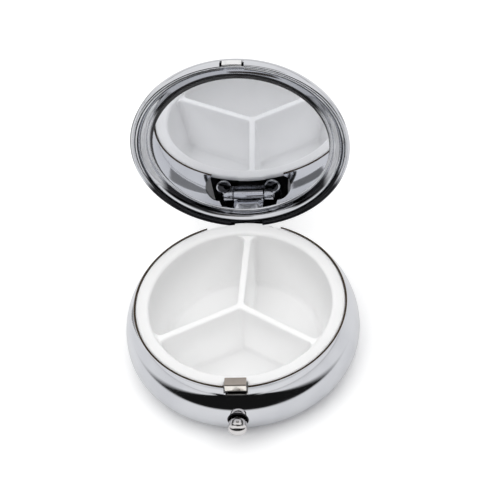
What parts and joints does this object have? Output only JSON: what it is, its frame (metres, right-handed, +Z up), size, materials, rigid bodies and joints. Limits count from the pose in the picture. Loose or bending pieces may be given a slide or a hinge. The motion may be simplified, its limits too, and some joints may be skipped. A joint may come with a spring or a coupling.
{
  "type": "pill case",
  "caption": "Round pocket pill case with a divided tray, a push-button latch and a mirror in its hinged lid.",
  "frame": {"origin": "centre of the flat underside of the base", "axes": "+Z up out of the tray, +Y from the button towards the hinge, +X along the hinge pin"},
  "size_m": [0.05, 0.0641, 0.0551],
  "materials": {
    "shell": "polished",
    "tray": "smooth moulded",
    "inner_steel": "plain pressed",
    "collar": "dark oxide",
    "spring": "drawn wire",
    "latch": "polished edges",
    "button": "polished",
    "frame_ring": "polished",
    "mirror": "silvered glass",
    "pad": "foam",
    "hinge_leaf": "polished"
  },
  "bodies": {
    "base": {"base_shell": "shell", "pill_tray": "tray", "hinge_bracket": "inner_steel", "hinge_pin": "inner_steel", "button_collar": "collar", "latch_guide": "inner_steel", "return_spring": "spring"},
    "latch": {"latch_strip": "latch", "push_button": "button", "rivet_washer": "inner_steel"},
    "lid": {"lid_shell": "shell", "lid_catch": "latch", "mirror_frame": "frame_ring", "mirror_glass": "mirror", "mirror_pad": "pad", "lid_hinge_leaf": "hinge_leaf"}
  },
  "joints": [
    {"name": "lid_hinge", "type": "hinge", "parent": "base", "child": "lid", "pos_m": [0, 0.02205, 0.01], "axis": [1, 0, 0], "range_deg": [0, 94.3]},
    {"name": "button_press", "type": "slide", "parent": "base", "child": "latch", "axis": [0, 1, 0], "range_m": [0, 0.0005], "stiffness_N_per_m": 400, "springref_m": -0.001, "deforming": ["return_spring"]}
  ]
}
